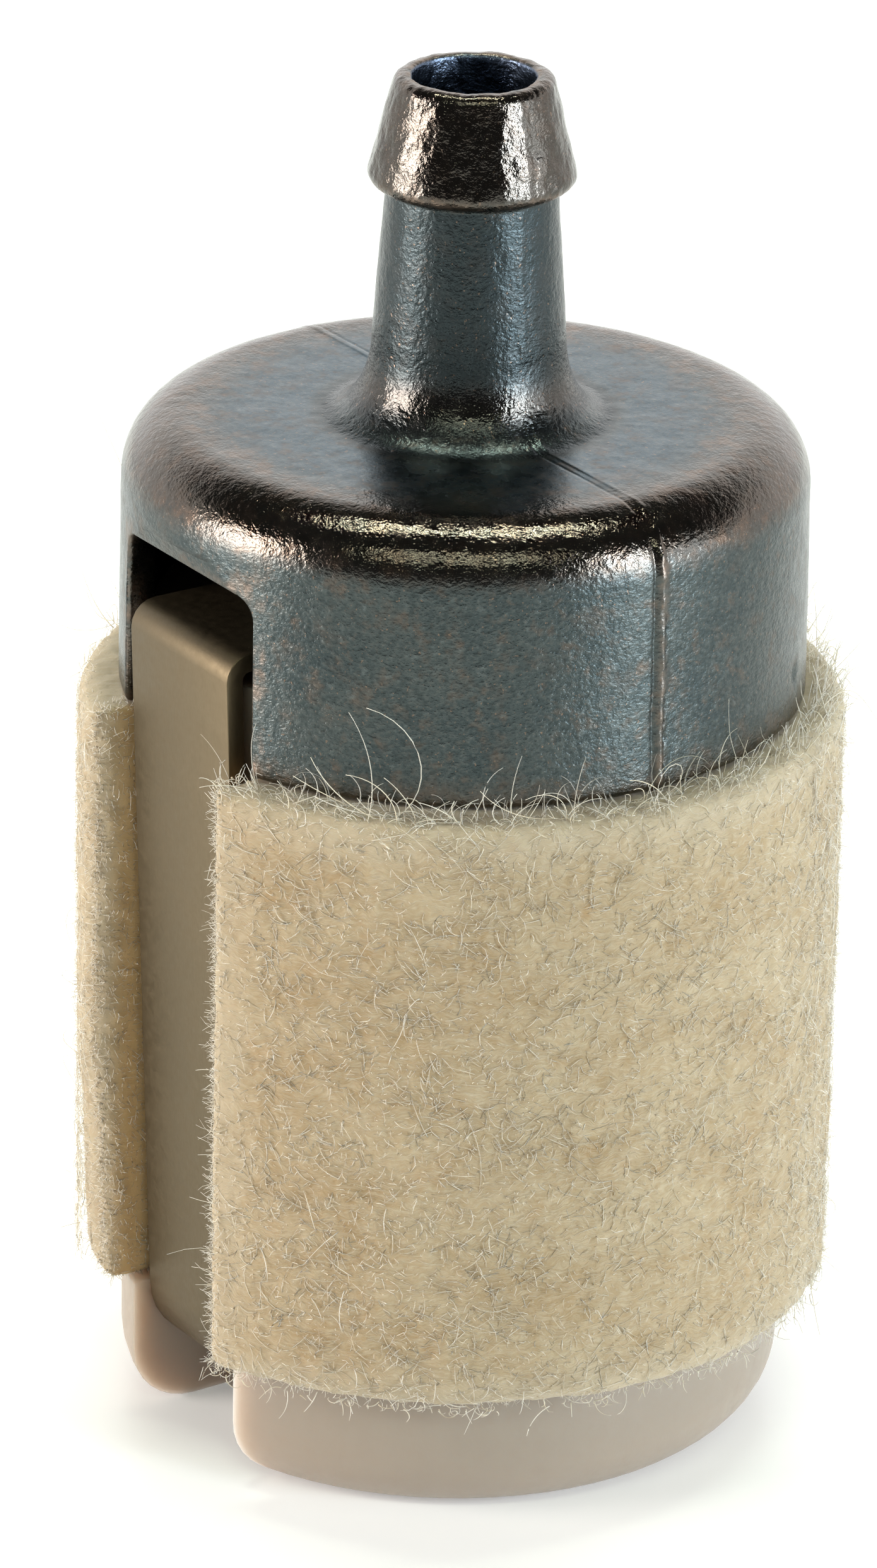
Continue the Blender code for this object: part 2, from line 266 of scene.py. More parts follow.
def felt_material():
    """Needled wool felt: cream with warmer patches, pale at its edges."""
    g = Graph("felt")
    around = g.maths("MULTIPLY", g.attribute("around"), math.tau * FELT_RADIUS)
    upward = g.add("ShaderNodeSeparateXYZ", {"Vector": g.place}).outputs["Z"]
    flat = g.add("ShaderNodeCombineXYZ", {"X": around, "Y": upward}).outputs["Vector"]
    patch = g.between(g.noise(3.0, 4, 0.6, g.stretched(1, 1, 1.5)), 0.38, 0.66)
    colour = g.mix(patch, (0.375, 0.292, 0.180), (0.295, 0.206, 0.106))
    orange = g.between(g.noise(1.1, 4, 0.6), 0.56, 0.72, 0, 0.55)
    colour = g.mix(orange, colour, (0.335, 0.210, 0.098))
    mottle = g.between(g.noise(0.50, 5, 0.65), 0.35, 0.68, 0, 0.6)
    colour = g.mix(mottle, colour, (0.405, 0.330, 0.222))
    strands = g.maths("MAXIMUM", g.strands(flat, 0.3, 0.075), g.strands(flat, -0.7, 0.06))
    strands = g.maths("MAXIMUM", strands, g.strands(flat, 1.35, 0.06))
    strands = g.maths("SUBTRACT", strands, g.attribute("end"))
    colour = g.mix(g.between(strands, 0, 1, 0, 0.36), colour, (0.50, 0.43, 0.315))
    # Painted shade: small random spots of darker orange-brown, standing for the shade in the
    # felt's hollows.
    hollow_shade = g.between(g.noise(0.20, 4, 0.6), 0.40, 0.58, 0.20, 0)
    colour = g.mix(hollow_shade, colour, (0.31, 0.205, 0.10))
    colour = g.mix(g.attribute("edge"), colour, (0.44, 0.372, 0.268))
    # Painted shade: orange-brown on the deep part of the end faces, where they lie in shadow
    # beside the strap.
    colour = g.mix(g.attribute("end_shade"), colour, (0.56, 0.345, 0.14))
    specks = g.between(g.noise(0.35, 1), 0.80, 0.84, 0, 0.8)
    colour = g.mix(specks, colour, (0.25, 0.16, 0.08))
    normal = g.bump(g.noise(0.20, 4, 0.7), 0.04, 0.6)
    normal = g.bump(g.between(strands, 0, 1), 0.012, 0.8, normal)
    g.shade(Base_Color=colour, Roughness=0.95, Normal=normal)
    g.shade(Subsurface_Weight=0.25, Subsurface_Scale=0.6 * MM, Subsurface_Radius=(1, 0.75, 0.45))
    g.shade(Sheen_Weight=0.2, Sheen_Roughness=0.5, Specular_IOR_Level=0.15)
    return g.material


def fibre_material():
    """Single wool fibres, each with its own tint."""
    g = Graph("felt_fibre")
    colour = g.mix(g.attribute("tint"), (0.375, 0.29, 0.18), (0.56, 0.485, 0.36))
    g.shade(Base_Color=colour, Roughness=0.55, Specular_IOR_Level=0.35)
    g.shade(Subsurface_Weight=0.85, Subsurface_Scale=0.25 * MM, Subsurface_Radius=(1, 0.8, 0.6))
    return g.material


def nylon_material():
    """Milky injection-moulded nylon, faintly pink."""
    g = Graph("nylon")
    colour = g.mix(g.noise(4.0), (0.312, 0.257, 0.205), (0.292, 0.246, 0.199))
    colour = g.mix(g.between(g.noise(0.4, 4), 0.5, 0.75, 0, 0.3), colour, (0.285, 0.23, 0.183))
    rough = g.between(g.noise(0.6, 3), 0.3, 0.7, 0.36, 0.5)
    normal = g.bump(g.noise(0.35, 4), 0.012, 0.5)
    g.shade(Base_Color=colour, Roughness=rough, Normal=normal)
    g.shade(Subsurface_Weight=0.9, Subsurface_Scale=2.8 * MM, Subsurface_Radius=(1, 0.8, 0.7))
    return g.material


def screen_material():
    """Fine woven mesh, drawn by crossed waves on the sleeve."""
    g = Graph("screen_mesh")
    threads = []
    for axis in ("X", "Z"):
        inputs = {"Vector": g.place, "Scale": SCREEN_WAVES}
        wave = g.add("ShaderNodeTexWave", inputs, bands_direction=axis)
        threads.append(wave.outputs["Fac"])
    weave = g.maths("MAXIMUM", *threads)
    colour = g.mix(weave, (0.10, 0.11, 0.11), (0.62, 0.64, 0.64))
    g.shade(Base_Color=colour, Roughness=0.5, Normal=g.bump(weave, 0.02))
    return g.material


def rubber_material():
    """Black rubber, faintly uneven."""
    g = Graph("seal_rubber")
    colour = g.mix(g.noise(0.8), (0.022, 0.022, 0.024), (0.045, 0.043, 0.042))
    rough = g.between(g.noise(0.3), 0.3, 0.7, 0.5, 0.7)
    g.shade(Base_Color=colour, Roughness=rough, Normal=g.bump(g.noise(0.1), 0.01))
    return g.material


# ---------------------------------------------------------------- mesh tools


def arc(centre, radius, start, end, steps):
    """Points of a circular arc in a two-coordinate outline, with angles in degrees."""
    angles = np.radians(np.linspace(start, end, steps + 1))
    across = centre[0] + radius * np.cos(angles)
    up = centre[1] + radius * np.sin(angles)
    return list(zip(across, up))


def resampled(outline, step):
    """Splits the outline's segments so that none is longer than the step."""
    points = []
    for (r0, z0), (r1, z1) in zip(outline, outline[1:]):
        parts = max(1, math.ceil(math.hypot(r1 - r0, z1 - z0) / step))
        for part in range(parts):
            t = part / parts
            points.append((r0 + (r1 - r0) * t, z0 + (z1 - z0) * t))
    return points + [outline[-1]]


def placed(name, data):
    """A new object with this data, linked into the scene."""
    obj = bpy.data.objects.new(name, data)
    bpy.context.scene.collection.objects.link(obj)
    return obj


def add_mesh(name, verts, faces):
    mesh = bpy.data.meshes.new(name)
    mesh.from_pydata(verts, [], faces)
    mesh.update()
    return placed(name, mesh)


def grid_faces(rows, columns):
    """Quads of a grid that closes on itself in both directions, as flat index rows."""
    row = np.arange(rows)[:, None]
    column = np.arange(columns)[None, :]
    next_row = (row + 1) % rows
    next_column = (column + 1) % columns
    corners = [
        row * columns + column,
        row * columns + next_column,
        next_row * columns + next_column,
        next_row * columns + column,
    ]
    return np.stack([c.ravel() for c in corners], axis=1).tolist()


def facing_out(obj):
    """Turns the faces of a closed mesh outwards."""
    bm = bmesh.new()
    bm.from_mesh(obj.data)
    bmesh.ops.recalc_face_normals(bm, faces=bm.faces)
    if bm.calc_volume(signed=True) < 0:
        bmesh.ops.reverse_faces(bm, faces=bm.faces)
    bm.to_mesh(obj.data)
    bm.free()


def applied(obj):
    """Replaces the object's mesh by what its modifiers make of it."""
    graph = bpy.context.evaluated_depsgraph_get()
    mesh = bpy.data.meshes.new_from_object(obj.evaluated_get(graph))
    obj.modifiers.clear()
    obj.data = mesh
    return obj


def cut(obj, cutter):
    """Takes the cutter's shape out of the object, and the cutter out of the scene."""
    modifier = obj.modifiers.new("cut", "BOOLEAN")
    modifier.operation = "DIFFERENCE"
    modifier.solver = "MANIFOLD"
    modifier.object = cutter
    applied(obj)
    bpy.data.objects.remove(cutter)


def points_of(mesh):
    flat = np.empty(len(mesh.vertices) * 3, np.float32)
    mesh.vertices.foreach_get("co", flat)
    return flat.reshape(-1, 3).astype(float)


def normals_of(mesh):
    flat = np.empty(len(mesh.vertices) * 3, np.float32)
    mesh.vertex_normals.foreach_get("vector", flat)
    return flat.reshape(-1, 3).astype(float)


def push(obj, heights):
    """Moves each vertex along its normal by its own height, in metres."""
    mesh = obj.data
    moved = points_of(mesh) + normals_of(mesh) * heights[:, None]
    mesh.vertices.foreach_set("co", moved.astype(np.float32).ravel())
    mesh.update()


def store(obj, name, values):
    """Keeps one number per vertex on the mesh, for its material to read."""
    layer = obj.data.attributes.new(name, "FLOAT", "POINT")
    layer.data.foreach_set("value", np.clip(values, 0, 1).astype(np.float32))


def fractal(points, size, octaves=3, shift=0.0):
    """Fractal noise of about -1 to 1 with features this many millimetres across."""
    scale = 1 / (size * MM)
    at = Vector((shift, -shift, 0.5 * shift))
    return np.array([noise.fractal(Vector(p) * scale + at, 0.9, 2.0, octaves) for p in points])


def smooth_step(values, low, high):
    """Rises smoothly from 0 at the low value to 1 at the high one."""
    t = np.clip((values - low) / (high - low), 0, 1)
    return t * t * (3 - 2 * t)


def bell(values, centre, width):
    """A smooth bump of height 1 round the centre, fading out over about twice the width."""
    return np.exp(-(((values - centre) / width) ** 2))


def finish_piece(obj, material, node):
    """Smooth shading, material, the CAD node it stands for and the slot it belongs to."""
    obj.data.materials.clear()
    obj.data.materials.append(material)
    obj.data.shade_smooth()
    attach(obj, "root")
    if node:
        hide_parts(node)


def refined_copy(node, name, width, segments):
    """A copy of a CAD node's mesh with its facets merged and its edges rounded."""
    obj = placed(name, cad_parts[node].data.copy())
    bm = bmesh.new()
    bm.from_mesh(obj.data)
    bmesh.ops.remove_doubles(bm, verts=bm.verts, dist=0.0005 * MM)
    bmesh.ops.dissolve_limit(bm, angle_limit=math.radians(0.5), verts=bm.verts, edges=bm.edges)
    bm.to_mesh(obj.data)
    bm.free()
    bevel = obj.modifiers.new("edges", "BEVEL")
    bevel.width = width
    bevel.segments = segments
    bevel.limit_method = "ANGLE"
    bevel.angle_limit = math.radians(40)
    return applied(obj)


# ---------------------------------------------------------------- the casting


def head_outline():
    """A closed loop of (radius, height) points, with its seen side finely divided."""
    top_radius = HEAD_RADIUS - HEAD_DRAFT
    fillet = (top_radius - HEAD_FILLET, HEAD_TOP - HEAD_FILLET)
    edge = (HEAD_RADIUS - SKIRT_EDGE, SKIRT_BOTTOM + SKIRT_EDGE)
    flare = [
        (NECK_RADIUS + FLARE_WIDTH * (1 + across), HEAD_TOP + FLARE_HEIGHT * (1 + up))
        for across, up in arc((0, 0), 1, 270, 180, 18)
    ]
    lip = (BARB_RADIUS - BARB_LIP, BARB_BOTTOM + BARB_LIP)
    tip = (TIP_RADIUS - TIP_EDGE, TIP_TOP - TIP_EDGE)
    bore_seen = TIP_TOP - 4 * MM
    outside = [
        *arc(edge, SKIRT_EDGE, -90, 0, 3),
        *arc(fillet, HEAD_FILLET, 0, 90, 20),
        *flare,
        (NECK_RADIUS - NECK_TAPER, BARB_BOTTOM),
        *arc(lip, BARB_LIP, -85, 14, 8),
        *arc(tip, TIP_EDGE, 14, 90, 4),
        *arc((BORE_RADIUS + BORE_CHAMFER, TIP_TOP - BORE_CHAMFER), BORE_CHAMFER, 90, 180, 3),
        (BORE_RADIUS, bore_seen),
    ]
    inside = [
        (BORE_RADIUS, bore_seen),
        (BORE_RADIUS, BOSS_BOTTOM),
        (BOSS_RADIUS, BOSS_BOTTOM),
        (BOSS_RADIUS, GROOVE_LOW),
        (GROOVE_RADIUS, GROOVE_LOW),
        (GROOVE_RADIUS, GROOVE_HIGH),
        (BOSS_RADIUS, GROOVE_HIGH),
        (BOSS_RADIUS, SKIRT_CEILING),
        (SKIRT_BORE, SKIRT_CEILING),
        (SKIRT_BORE, SKIRT_BOTTOM),
        outside[0],
    ]
    return resampled(outside, ROW_STEP) + resampled(inside, HIDDEN_ROW_STEP)[1:-1]


def head_columns():
    """Angles round the casting, closer together at the two parting seams."""
    angles = []
    for seam in (0, math.pi):
        near = np.arange(-SEAM_REACH, SEAM_REACH, SEAM_COLUMN_STEP)
        far = np.arange(SEAM_REACH, math.pi - SEAM_REACH, COLUMN_STEP)
        angles += list(seam + near) + list(seam + far)
    return np.array(angles)


def slot_outline():
    """The opening's (across, height) points, right to left, each with its outward direction."""
    inset = SLOT_HALF_WIDTH - SLOT_CORNER
    shoulder = SLOT_TOP - SLOT_CORNER
    below = SKIRT_BOTTOM - 1.5 * MM
    outline = [((SLOT_HALF_WIDTH, below), (1, 0))]
    for side, start in ((1, 0), (-1, math.pi / 2)):
        for angle in np.linspace(start, start + math.pi / 2, 9):
            across, up = math.cos(angle), math.sin(angle)
            corner = (side * inset + SLOT_CORNER * across, shoulder + SLOT_CORNER * up)
            outline.append((corner, (across, up)))
    outline.append(((-SLOT_HALF_WIDTH, below), (-1, 0)))
    return outline


def slot_levels():
    """Radii from inside the skirt outwards, each with how far the opening has widened."""
    levels = [(0.0, HEAD_RADIUS - 2.2 * MM)]
    last = math.radians(75)
    for turn in np.linspace(0, last, 6):
        offset = SLOT_EDGE * (1 - math.cos(turn))
        levels.append((offset, HEAD_RADIUS - SLOT_EDGE * (1 - math.sin(turn))))
    run = 0.5 * MM
    offset, radius = levels[-1]
    levels.append((offset + run * math.sin(last), radius + run * math.cos(last)))
    levels.append((levels[-1][0], HEAD_RADIUS + 1.5 * MM))
    return levels


def slot_cutter():
    """The skirt's opening, flared where it meets the outside so that its edge is round."""
    outline, levels = slot_outline(), slot_levels()
    verts = []
    for offset, radius in levels:
        for (x, z), (nx, nz) in outline:
            across = x + nx * offset
            verts.append((across, -math.sqrt(radius**2 - across**2), z + nz * offset))
    count = len(outline)
    faces = []
    for level in range(len(levels) - 1):
        here, there = level * count, (level + 1) * count
        for i in range(count):
            j = (i + 1) % count
            faces.append((here + i, here + j, there + j, there + i))
    faces.append(tuple(range(count)))
    faces.append(tuple(range(count * (len(levels) - 1), count * len(levels))))
    cutter = add_mesh("slot_cutter", verts, faces)
    facing_out(cutter)
    return cutter


def pocket_cutter():
    """A block for the pocket in the boss that takes the strap's upper end."""
    near, low, high = POCKET
    far = BOSS_RADIUS + 0.1 * MM
    bm = bmesh.new()
    place = Matrix.Translation((0, -(near + far) / 2, (low + high) / 2))
    size = Matrix.Diagonal((2 * POCKET_HALF_WIDTH, far - near, high - low, 1))
    bmesh.ops.create_cube(bm, size=1, matrix=place @ size)
    mesh = bpy.data.meshes.new("pocket_cutter")
    bm.to_mesh(mesh)
    bm.free()
    return placed("pocket_cutter", mesh)


def seam_height(points):
    """The parting flash: a pitted bead down the skirt, and a fine step over the top."""
    x, y, z = points.T
    radius = np.hypot(x, y)
    wander = 0.035 * MM * fractal(points * (0, 0, 1) + np.sign(x)[:, None] * 0.01, 1.4, 2)
    lumps = 0.70 + 0.45 * fractal(points, 0.30, 2, 7.0)
    bead = bell(y, wander, 0.13 * MM)
    groove = bell(y, wander - np.sign(x) * 0.23 * MM, 0.05 * MM)
    pits = bell(y, wander + np.sign(x) * 0.12 * MM, 0.06 * MM)
    pits *= smooth_step(fractal(points, 0.22, 2, 13.0), 0.0, 0.35)
    skirt = smooth_step(radius, 8.55 * MM, 8.95 * MM) * (z > SKIRT_BOTTOM)
    top = (1 - skirt) * smooth_step(radius, 2.7 * MM, 3.3 * MM)
    top = top * (z > HEAD_TOP - HEAD_FILLET)
    neck = (radius < 2.9 * MM) * (z > HEAD_TOP + FLARE_HEIGHT)
    step = 0.009 * MM * np.tanh((y - wander) / (0.03 * MM)) * bell(y, 0, 0.5 * MM)
    height = skirt * (0.12 * bead * lumps - 0.045 * groove - 0.09 * pits) * MM
    height += top * (0.012 * MM * bead * lumps + step - 0.014 * MM * groove)
    height += neck * 0.012 * MM * bead
    return height, skirt * bead


def dent_height(points):
    """One small oval dent low on the skirt."""
    angle = np.arctan2(points[:, 1], points[:, 0]) - math.radians(39)
    across = angle * HEAD_RADIUS / (0.18 * MM)
    up = (points[:, 2] - 21.9 * MM) / (0.30 * MM)
    return -0.12 * MM * np.exp(-(across**2) - up**2)


def turned_head():
    """The casting as a smooth turned shape, with its slot and its pocket cut out."""
    outline = np.array(head_outline())
    angles = head_columns()
    rows, columns = len(outline), len(angles)
    x = outline[:, :1] * np.cos(angles)
    y = outline[:, :1] * np.sin(angles)
    z = np.repeat(outline[:, 1:], columns, axis=1)
    verts = np.stack([x, y, z], axis=-1).reshape(-1, 3)
    head = add_mesh("die_cast_head", verts.tolist(), grid_faces(rows, columns))
    facing_out(head)
    cut(head, slot_cutter())
    cut(head, pocket_cutter())
    return head


def peel_height(points):
    """Orange peel all over, coarser on the barb."""
    peel = 0.007 * MM * fractal(points, 0.42, 3, 3.0) + 0.016 * MM * fractal(points, 2.4, 2)
    barb = smooth_step(points[:, 2], BARB_BOTTOM - 0.2 * MM, BARB_BOTTOM + 0.4 * MM)
    return peel + barb * 0.028 * MM * fractal(points, 0.6, 3, 11.0)


def slot_rim(points, radius):
    """Worn places along the edge of the skirt's opening."""
    x, y, z = points.T
    side = np.abs(np.abs(x) - SLOT_HALF_WIDTH) < 0.45 * MM
    side &= z < SLOT_TOP + 0.3 * MM
    over = np.abs(x) < SLOT_HALF_WIDTH + 0.3 * MM
    over &= np.abs(z - SLOT_TOP) < 0.45 * MM
    rim = (y < -6 * MM) & (side | over)
    rim = rim * smooth_step(radius, HEAD_RADIUS - 0.4 * MM, HEAD_RADIUS - 0.1 * MM)
    return rim * smooth_step(fractal(points, 0.7, 3, 6.0), -0.25, 0.35)


def mark_head(head, points, bead):
    """Stores where the casting is worn, polished, peeled, brown, blue or dark, and the painted
    shade in the crease at the foot of the neck's flare.
    """
    radius = np.hypot(points[:, 0], points[:, 1])
    heights = points[:, 2]
    band = smooth_step(heights, HEAD_TOP - HEAD_FILLET, HEAD_TOP - 0.8 * MM)
    band *= smooth_step(radius, HEAD_RADIUS - HEAD_FILLET - 1.2 * MM, HEAD_RADIUS - 1.1 * MM)
    barb = smooth_step(heights, BARB_BOTTOM - 0.1 * MM, BARB_BOTTOM + 0.2 * MM)
    barb *= radius > BORE_RADIUS + 0.15 * MM
    lip = bell(heights, BARB_BOTTOM + 0.16 * MM, 0.15 * MM) * (radius > 2.4 * MM)
    foot = bell(heights, HEAD_TOP + 1.0 * MM, 0.5 * MM) * (radius < NECK_RADIUS + 1.2 * MM)
    tip = bell(heights, TIP_TOP, 0.12 * MM) * (radius > BORE_RADIUS)
    low_edge = 1 - smooth_step(heights, SKIRT_BOTTOM, SKIRT_BOTTOM + 0.9 * MM)
    wear = slot_rim(points, radius) * 0.5 + lip * 1.2 + tip * 0.8
    store(head, "wear", wear + low_edge * 0.4 + band * 0.4 + bead * 0.5)
    bright = np.maximum(band, barb)
    store(head, "polish", np.maximum(bright * (1 - 0.7 * lip), 0.8 * foot))

    flat_top = (heights > HEAD_TOP - 0.3 * MM) & (radius > NECK_RADIUS + 1.25 * MM)
    neck = (radius < NECK_RADIUS + 0.6 * MM) * (heights > HEAD_TOP + 0.1 * MM)
    store(head, "relief", np.maximum(0.8 * bright, 0.75 * (1 - flat_top) + 0.25 * neck))
    outer = smooth_step(radius, 5.0 * MM, 8.2 * MM)
    outer *= 1 - smooth_step(radius, 8.9 * MM, 9.05 * MM)
    store(head, "rim", outer * (heights > HEAD_TOP - 1.2 * MM) + 0.3 * neck)
    on_top = heights > HEAD_TOP - 0.2 * MM
    middle = on_top * (1 - smooth_step(radius, 5.4 * MM, 7.4 * MM))
    middle *= smooth_step(radius, 3.8 * MM, 4.4 * MM)
    stem = neck * (heights < BARB_BOTTOM - 0.05 * MM)
    store(head, "flat", 0.75 * middle * (1 - stem))
    # Painted shade: the crease where the flare meets the flat top is darkened. It is stored
    # together with the darker neck stem.
    crease = bell(radius, 3.7 * MM, 0.3 * MM) * on_top
    store(head, "neck", np.maximum(0.85 * stem, crease))
    store(head, "bore", (radius < BORE_RADIUS + 0.1 * MM) & (heights < TIP_TOP - 0.05 * MM))


def make_head(material):
    head = turned_head()
    points = points_of(head.data)
    radius = np.hypot(points[:, 0], points[:, 1])
    seen = (radius > SKIRT_BORE + 0.05 * MM) | (points[:, 2] > HEAD_TOP - 0.2 * MM)
    seam, bead = seam_height(points)
    push(head, np.where(seen, peel_height(points) + seam + dent_height(points), 0))
    mark_head(head, points, bead)
    finish_piece(head, material, "head")


# ---------------------------------------------------------------- felt and fibres


def round_ends(felt):
    """Rounds the strip's two upright ends and draws one in a little towards the foot."""
    points = points_of(felt.data)
    x, y, z = points.T
    radius = np.hypot(x, y)
    from_end = np.abs(x) - FELT_HALF_OPENING
    depth = FELT_RADIUS - radius
    bend = np.where(x < 0, *FELT_END_ROUND)
    corner = (y < 0) & (from_end < bend) & (depth < bend)
    to_end, to_outside = bend - from_end, bend - depth
    distance = np.hypot(to_end, to_outside)
    pull = np.where(corner & (distance > bend), bend / distance, 1)
    radius = FELT_RADIUS - bend + to_outside * pull
    across = np.sign(x) * (FELT_HALF_OPENING + bend - to_end * pull)
    low = 1 - smooth_step(z, 4 * MM, 12.5 * MM)
    drawn = smooth_step(-x, 2 * MM, 3 * MM) * smooth_step(-y, 3 * MM, 6 * MM)
    radius -= 0.3 * MM * low * drawn * smooth_step(radius, FELT_RADIUS - 1.5 * MM, FELT_RADIUS)
    points[:, 0] = np.where(corner, across, x * radius / np.hypot(x, y))
    points[:, 1] = np.sign(y) * np.sqrt(radius**2 - points[:, 0] ** 2)
    felt.data.vertices.foreach_set("co", points.astype(np.float32).ravel())
    felt.data.update()


def soft_sleeve():
    """The CAD sleeve, remeshed, softened at its edges and made lumpy."""
    felt = placed("felt_sleeve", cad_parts["felt_wrap"].data.copy())
    remesh = felt.modifiers.new("voxels", "REMESH")
    remesh.mode = "VOXEL"
    remesh.voxel_size = FELT_VOXEL
    soften = felt.modifiers.new("soften", "SMOOTH")
    soften.factor = 0.5
    soften.iterations = 8
    applied(felt)
    round_ends(felt)

    points = points_of(felt.data)
    radius = np.hypot(points[:, 0], points[:, 1])
    outside = smooth_step(radius, FELT_RADIUS - 1.6 * MM, FELT_RADIUS - 0.8 * MM)
    lumps = 0.055 * fractal(points * (1, 1, 1.4), 2.2, 3) + 0.045 * fractal(points, 0.55, 3, 5.0)
    fuzz = 0.028 * fractal(points, 0.22, 3, 9.0)
    crease = -0.10 * bell(points[:, 2], FELT_CREASE, 0.35 * MM)
    crease *= smooth_step(fractal(points * (1, 1, 0.2), 5.0, 2, 2.0), -0.1, 0.5)
    push(felt, outside * (lumps + fuzz + crease - 0.03) * MM)
    return felt, radius


def mark_felt(felt, radius):
    """Stores the felt's pale edges, the painted shade on its ends beside the strap and the way
    round it.
    """
    points = points_of(felt.data)
    above = FELT_HIGH.z - points[:, 2]
    below = points[:, 2] - FELT_LOW.z
    side = np.abs(points[:, 0]) - FELT_HALF_OPENING
    front = points[:, 1] < 0
    edge = np.minimum(above, below)
    edge = np.where(front, np.minimum(edge, np.abs(side) * 0.8), edge)
    ragged = 0.25 * MM * fractal(points, 0.8, 3, 4.0)
    store(felt, "edge", 0.75 * (1 - smooth_step(edge + ragged, 0.1 * MM, 1.5 * MM)))
    # Painted shade: the deep part of each end face, which lies in shadow beside the strap, is
    # coloured orange-brown.
    end_face = front * (1 - smooth_step(side, 0.05 * MM, 0.35 * MM))
    deep = 1 - smooth_step(radius, FELT_RADIUS - 1.3 * MM, FELT_RADIUS - 0.3 * MM)
    store(felt, "end_shade", end_face * deep * 0.75)
    store(felt, "end", 0.7 * front * (1 - smooth_step(side, 0.3 * MM, 1.0 * MM)))
    angle = np.arctan2(points[:, 1], points[:, 0])
    store(felt, "around", ((angle + math.pi / 2) / math.tau) % 1)


def make_felt(material):
    felt, radius = soft_sleeve()
    mark_felt(felt, radius)
    finish_piece(felt, material, "felt_wrap")
    return felt


def tubes(name, lines, radii, tints, material):
    """Closed three-sided tubes along many lines of equal point count, as one piece.

    lines is (fibres, points, 3), radii is (fibres, points) and tints is one per fibre.
    """
    fibres, count, _ = lines.shape
    along = np.gradient(lines, axis=1)
    along /= np.linalg.norm(along, axis=2, keepdims=True)
    helper = np.where(np.abs(along[..., 2:]) > 0.9, (1.0, 0, 0), (0, 0, 1.0))
    side = np.cross(along, helper)
    side /= np.linalg.norm(side, axis=2, keepdims=True)
    other = np.cross(along, side)
    corners = []
    for corner in range(3):
        angle = corner * math.tau / 3
        offset = side * math.cos(angle) + other * math.sin(angle)
        corners.append(lines + offset * radii[..., None])
    verts = np.stack(corners, axis=2).reshape(-1, 3)
    start = (np.arange(fibres) * count * 3)[:, None, None]
    ring = (np.arange(count - 1) * 3)[None, :, None]
    corner = np.arange(3)[None, None, :]
    following = (corner + 1) % 3
    base = start + ring
    walls = np.stack(
        [base + corner, base + following, base + following + 3, base + corner + 3], axis=-1
    ).reshape(-1, 4)
    first = np.arange(fibres)[:, None] * count * 3 + np.array([2, 1, 0])
    final = np.arange(fibres)[:, None] * count * 3 + (count - 1) * 3 + np.array([0, 1, 2])
    faces = walls.tolist() + first.tolist() + final.tolist()
    obj = add_mesh(name, verts.tolist(), faces)
    store(obj, "tint", np.repeat(tints, count * 3))
    finish_piece(obj, material, None)


def felt_frame(angle, height):
    """Position on the sleeve's outside with its outward, sideways and upward directions."""
    outward = np.stack([np.cos(angle), np.sin(angle), 0 * angle], axis=-1)
    sideways = np.stack([-np.sin(angle), np.cos(angle), 0 * angle], axis=-1)
    upward = np.broadcast_to((0.0, 0.0, 1.0), outward.shape)
    position = outward * FELT_RADIUS
    position[:, 2] = height
    return position, outward, sideways, upward


def surface_fibres(rng, count, points, length, lift):
    """Short fibres that lie along the sleeve and bow slightly off it."""
    opening = math.asin((FELT_HALF_OPENING + 0.65 * MM) / FELT_RADIUS)
    angle = -math.pi / 2 + rng.uniform(opening, math.tau - opening, count)
    height = rng.uniform(FELT_LOW.z + 0.2 * MM, FELT_HIGH.z - 0.2 * MM, count)
    position, outward, sideways, upward = felt_frame(angle, height)
    heading = rng.normal(0, 0.9, count) + rng.integers(0, 2, count) * math.pi
    reach = length * np.exp(rng.normal(0, 0.4, count)) * MM
    bend = rng.normal(0, 1.1, count)
    rise = lift * rng.random(count) ** 2
    t = np.linspace(0, 1, points)[None, :]
    turn = heading[:, None] + bend[:, None] * t
    step = reach[:, None] / (points - 1)
    across = np.cumsum(np.cos(turn) * step, axis=1) - np.cos(turn[:, :1]) * step
    up = np.cumsum(np.sin(turn) * step, axis=1) - np.sin(turn[:, :1]) * step
    out = (-0.05 + rise[:, None] * np.sin(t * math.pi * 0.8)) * MM
    sagitta = across**2 / (2 * FELT_RADIUS)
    lines = position[:, None] + sideways[:, None] * across[..., None]
    lines = lines + upward[:, None] * up[..., None] + outward[:, None] * (out - sagitta)[..., None]
    lines[..., 2] = np.clip(lines[..., 2], FELT_LOW.z - 0.1 * MM, FELT_HIGH.z + 0.15 * MM)
    thickness = rng.uniform(0.006, 0.013, count)[:, None] * (1 - 0.6 * t**2) * MM
    return lines, thickness


def pile_fibres(rng, felt, count, points, length, at_ends=False):
    """Very short fibres standing out of the sleeve's seen faces, or only of its ends."""
    mesh = felt.data
    roots = points_of(mesh)
    normals = normals_of(mesh)
    outside = np.hypot(roots[:, 0], roots[:, 1]) > FELT_RADIUS - 0.5 * MM
    ends = (np.abs(roots[:, 0]) < FELT_HALF_OPENING + 0.6 * MM) & (roots[:, 1] < 0)
    seen = np.flatnonzero(ends if at_ends else outside | ends)
    chosen = rng.choice(seen, count)
    root = roots[chosen]
    outward = normals[chosen] + rng.normal(0, 0.55, (count, 3))
    outward /= np.linalg.norm(outward, axis=1, keepdims=True)
    sideways = np.cross(outward, rng.normal(0, 1, (count, 3)))
    sideways /= np.linalg.norm(sideways, axis=1, keepdims=True)
    reach = length * np.exp(rng.normal(0, 0.45, count)) * MM
    t = np.linspace(0, 1, points)[None, :, None]
    bend = rng.uniform(0.1, 0.9, count)[:, None, None]
    start = root - outward * 0.04 * MM
    path = outward[:, None] * t + sideways[:, None] * bend * t**2
    lines = start[:, None] + reach[:, None, None] * path
    thickness = rng.uniform(0.006, 0.011, count)[:, None] * (1 - 0.6 * t[..., 0] ** 2) * MM
    return lines, thickness


